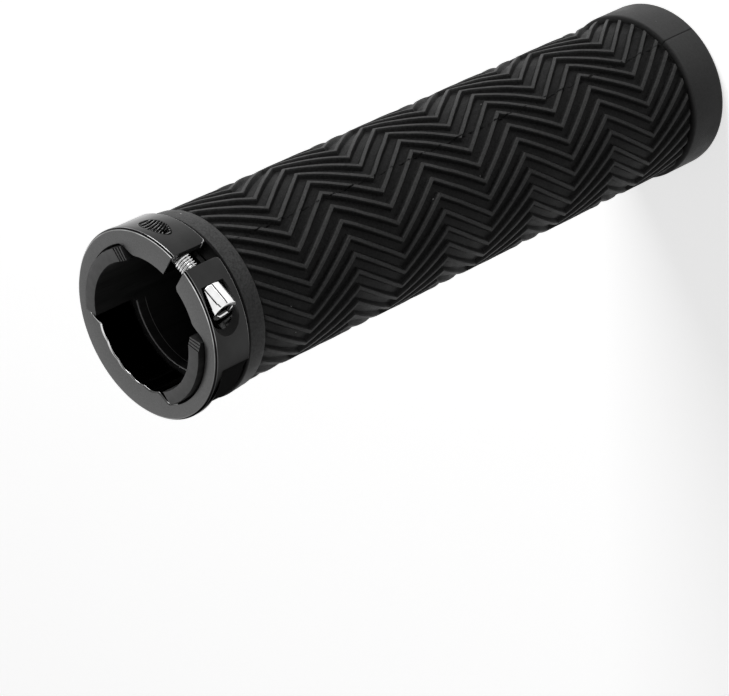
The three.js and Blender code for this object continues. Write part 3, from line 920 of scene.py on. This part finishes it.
def anodised():
    n = Nodes("black_anodised_aluminium")
    face = n.facing_up()
    spot = n.position()
    level = spot["Z"]
    radius = n.radius()
    blast = n.noise(4200, 3, 0.6)
    handled = n.noise(160, 4)
    wear_and_painted_light = n.ramp(n.noise(240, 3), 0.35, 0.65, 0.45, 1.0)
    # Where the waist, the walls round the bolt, the chamfers and the worn edges with their painted
    # highlights lie
    outside = n.ramp(radius, COLLAR_RADIUS - 1.2, COLLAR_RADIUS - 1.1)
    rim = COLLAR_TOP - RIM_LENGTH
    below_rim = n.ramp(level, rim, rim - 0.1)
    # The waist is painted darker than the pads and made non-metal: a painted dark reflection
    waist = n.math("MULTIPLY", outside, n.ramp(radius, COLLAR_RADIUS - 0.02, COLLAR_RADIUS - 0.05))
    waist = n.math("MULTIPLY", waist, below_rim)
    waist = n.math("MULTIPLY", waist, n.ramp(level, COLLAR_BOTTOM + 0.34, COLLAR_BOTTOM + 0.38))
    hollow = n.bolt_hollow()
    in_thread = n.math("MULTIPLY", hollow, n.math("GREATER_THAN", spot["X"], 0.0))
    # Light lines along the front chamfer's edges: worn bare metal, with painted highlight
    low_edge = n.band(level, COLLAR_TOP - 0.42, COLLAR_TOP - 0.28, 0.04)
    low_edge = n.math("MULTIPLY", outside, low_edge)
    front_edge = n.math(
        "MULTIPLY",
        n.band(radius, COLLAR_RADIUS - 0.42, COLLAR_RADIUS - 0.25, 0.04),
        n.ramp(level, COLLAR_TOP - 0.1, COLLAR_TOP - 0.06),
    )
    # Painted highlight: the edge lines are brighter near the slot and dimmer towards the head side
    near_slot = n.ramp(spot["Y"], -12.5, -14.5)
    wear_and_painted_light = n.math("MULTIPLY", wear_and_painted_light, n.ramp(spot["X"], -16.0, -12.5, 0.15, 1.0))
    # Painted dark reflection on the front face's outer chamfer
    chamfer_dark_reflection = n.math("MULTIPLY", outside, n.ramp(level, COLLAR_TOP - 0.3, COLLAR_TOP - 0.26))
    chamfer_dark_reflection = n.math("MULTIPLY", chamfer_dark_reflection, n.ramp(level, COLLAR_TOP - 0.04, COLLAR_TOP - 0.08))
    # Light line along the rear edge: worn bare metal, with painted highlight
    rear = n.band(n.above_rear(), 0.08, 0.34, 0.05)
    rear = n.math("MULTIPLY", outside, rear)
    # Painted highlight on the bore's chamfer, lightest on the far side towards +X
    inner = n.ramp(radius, RECESS_RADIUS + 0.3, RECESS_RADIUS + 0.2)
    bore_chamfer_highlight = n.band(level, COLLAR_TOP - 0.27, COLLAR_TOP - 0.01, 0.02)
    bore_chamfer_highlight = n.math("MULTIPLY", inner, bore_chamfer_highlight)
    far = n.math("MULTIPLY", bore_chamfer_highlight, n.ramp(spot["Y"], 6.0, 8.0))
    # Their colours, from the pads outwards
    pad = n.mix(n.ramp(handled, 0.3, 0.7), grey(0.026), grey(0.036))
    side = n.mix(waist, pad, grey(0.018))
    pocket = n.math("MULTIPLY", hollow, n.math("LESS_THAN", spot["X"], HEAD_SEAT_X))
    # Painted shade on the walls of the bolt's holes, whose reflection the tint below also dims
    side = n.mix(hollow, side, grey(0.012))
    side = n.mix(pocket, side, grey(0.04))
    crests = n.ramp(n.bolt_radius(), TAPPED_RADIUS - 0.08, TAPPED_RADIUS - 0.22)
    side = n.mix(n.math("MULTIPLY", in_thread, crests), side, grey(0.3))
    side = n.mix(chamfer_dark_reflection, side, grey(0.006))
    side = n.mix(n.math("MULTIPLY", rear, wear_and_painted_light), side, grey(0.5))
    side = n.mix(bore_chamfer_highlight, side, grey(0.2))
    far_shine = n.mix(n.ramp(spot["X"], -7.0, 6.0), grey(0.07), grey(0.6))
    side = n.mix(far, side, far_shine)
    front = n.mix(n.ramp(blast, 0.3, 0.7), grey(0.09), grey(0.12))
    colour = n.mix(face, side, front)
    colour = n.mix(n.math("MULTIPLY", low_edge, wear_and_painted_light), colour, grey(0.3))
    edge_shine = n.mix(near_slot, grey(0.4), grey(1.0))
    colour = n.mix(n.math("MULTIPLY", front_edge, wear_and_painted_light), colour, edge_shine)
    # Painted shade: reflections dimmed on the head side's walls, which face away from the light
    turned_away = n.ramp(spot["X"], -12.0, -16.0)
    turned_away = n.math("MULTIPLY", turned_away, n.math("SUBTRACT", 1.0, face))
    tint = n.mix(hollow, n.mix(turned_away, grey(1.0), grey(0.3)), grey(0.45))
    satin = n.ramp(face, 0, 1, 0.12, 0.36)
    rough = n.math("ADD", satin, n.ramp(handled, 0.3, 0.7, -0.02, 0.04))
    normal = n.bump(blast, 0.12, 0.00002)
    return n.finish(
        Base_Color=colour,
        Metallic=n.math("SUBTRACT", 1.0, waist),
        Roughness=rough,
        Normal=normal,
        Specular_Tint=tint,
        Specular_IOR_Level=0.0,
    )


def chrome():
    n = Nodes("bright_chrome")
    smear = n.noise(900, 3)
    colour = n.mix(n.ramp(smear, 0.3, 0.7), grey(0.82), grey(0.92))
    shank = n.math("GREATER_THAN", n.position()["X"], HEAD_SEAT_X)
    from_axis = n.bolt_radius()
    # Painted shade in the roots of the shank's thread
    root = n.ramp(from_axis, BOLT_RADIUS - 0.16, BOLT_RADIUS - 0.26)
    colour = n.mix(n.math("MULTIPLY", shank, root), colour, grey(0.1))
    # Painted shade inside the hex socket
    socket_start = HEAD_SEAT_X - HEAD_CLEARANCE - HEAD_LENGTH + HEX_LEAD_IN
    socket = n.band(n.position()["X"], socket_start, HEAD_SEAT_X - 1.0, 0.05)
    inside = n.ramp(from_axis, HEX_SHADE_RADIUS + 0.04, HEX_SHADE_RADIUS)
    socket = n.math("MULTIPLY", socket, inside)
    colour = n.mix(socket, colour, grey(0.04))
    rough = n.ramp(smear, 0.3, 0.7, 0.06, 0.12)
    normal = n.bump(n.noise(2500, 2), 0.08, 0.00002)
    return n.finish(Base_Color=colour, Metallic=1.0, Roughness=rough, Normal=normal)


# Studio


def directly_seen(tree, otherwise, seen):
    """One strength where the camera or a reflection sees it, another for the light it gives."""
    path = tree.nodes.new("ShaderNodeLightPath")
    total = path.outputs["Is Camera Ray"]
    for output in ("Is Glossy Ray", "Is Transmission Ray"):
        either = tree.nodes.new("ShaderNodeMath")
        either.operation = "MAXIMUM"
        tree.links.new(total, either.inputs[0])
        tree.links.new(path.outputs[output], either.inputs[1])
        total = either.outputs[0]
    level = tree.nodes.new("ShaderNodeMapRange")
    level.inputs["To Min"].default_value = otherwise
    level.inputs["To Max"].default_value = seen
    tree.links.new(total, level.inputs["Value"])
    return level.outputs["Result"]


def flat_piece(name, width, height):
    """A flat rectangle of half a width and half a height each way, with a material of its own."""
    mesh = bpy.data.meshes.new(name)
    corners = [(-width, -height, 0), (width, -height, 0), (width, height, 0), (-width, height, 0)]
    mesh.from_pydata(corners, [], [(0, 1, 2, 3)])
    made = bpy.data.objects.new(name, mesh)
    bpy.context.scene.collection.objects.link(made)
    covering = bpy.data.materials.new(name)
    covering.use_nodes = True
    mesh.materials.append(covering)
    return made, covering.node_tree


def studio():
    world = bpy.data.worlds.new("studio")
    bpy.context.scene.world = world
    world.use_nodes = True
    tree = world.node_tree
    background = tree.nodes["Background"]
    background.inputs["Color"].default_value = grey(1.0)
    tree.links.new(directly_seen(tree, WORLD_LIGHT, BACKDROP), background.inputs["Strength"])

    floor, tree = flat_piece("floor", FLOOR_HALF_SIZE, FLOOR_HALF_SIZE)
    shader = tree.nodes["Principled BSDF"]
    shader.inputs["Base Color"].default_value = grey(0.86)
    shader.inputs["Roughness"].default_value = 0.9
    shader.inputs["Emission Color"].default_value = grey(1.0)
    tree.links.new(directly_seen(tree, 0.0, FLOOR_GLOW), shader.inputs["Emission Strength"])


def dark_card(name, middle, toward, size):
    """A thin dark card that shows in reflections only, to draw out the chrome."""
    card, tree = flat_piece(name, size[0] / 2, size[1] / 2)
    card.location = middle
    card.rotation_mode = "QUATERNION"
    card.rotation_quaternion = Vector(toward).to_track_quat("Z", "X")
    shader = tree.nodes["Principled BSDF"]
    shader.inputs["Base Color"].default_value = grey(0.01)
    shader.inputs["Roughness"].default_value = 1.0
    shader.inputs["Specular IOR Level"].default_value = 0.0
    card.visible_camera = False
    card.visible_diffuse = False
    card.visible_transmission = False
    card.visible_shadow = False


def soft_light(name, toward, distance, size, power):
    """A square soft light in a direction from the grip, aimed at it."""
    data = bpy.data.lights.new(name, "AREA")
    data.size = size
    data.energy = power
    light = bpy.data.objects.new(name, data)
    direction = Vector(toward).normalized()
    light.location = Vector(LIGHTS_AIM) + direction * distance
    light.rotation_mode = "QUATERNION"
    light.rotation_quaternion = direction.to_track_quat("Z", "Y")
    bpy.context.scene.collection.objects.link(light)


def photo_camera():
    data = bpy.data.cameras.new("camera")
    data.lens = CAMERA_LENS
    data.sensor_width = SENSOR_WIDTH
    data.sensor_fit = "HORIZONTAL"
    data.clip_start = 0.05
    data.clip_end = 10
    camera = bpy.data.objects.new("camera", data)
    camera.location = CAMERA_PLACE
    camera.rotation_euler = Euler([math.radians(a) for a in CAMERA_TURN], "XYZ")
    bpy.context.scene.collection.objects.link(camera)
    bpy.context.scene.camera = camera


# The scene

PIECES = (
    (rubber_sleeve, "rubber_sleeve", "rubber", rubber),
    (core_sleeve, "core_sleeve", "core_plastic", core_plastic),
    (lock_collar, "lock_collar", "anodised_collar", anodised),
    (clamp_bolt, "clamp_bolt", "chrome_bolt", chrome),
)
for build, node, slot, material in PIECES:
    piece = build()
    piece.data.materials.clear()
    piece.data.materials.append(material())
    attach(piece, "root")
    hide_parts(node)
flash = parting_flash()
flash.data.materials.append(bpy.data.materials["matt_rubber"])
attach(flash, "root")

studio()
dark_card("high_card", middle=(0.15, -0.30, 0.50), toward=(-0.15, 0.30, -0.40), size=(0.085, 1.2))
dark_card("low_card", middle=(0.08, -0.24, 0.045), toward=(-0.08, 0.24, 0.08), size=(0.045, 0.7))
soft_light("key", toward=(0.764, -0.611, 0.25), distance=0.9, size=0.5, power=8.5)
soft_light("fill", toward=(-0.7, -0.6, 0.6), distance=1.1, size=0.8, power=1.0)
photo_camera()
bpy.context.scene.view_settings.view_transform = "Standard"
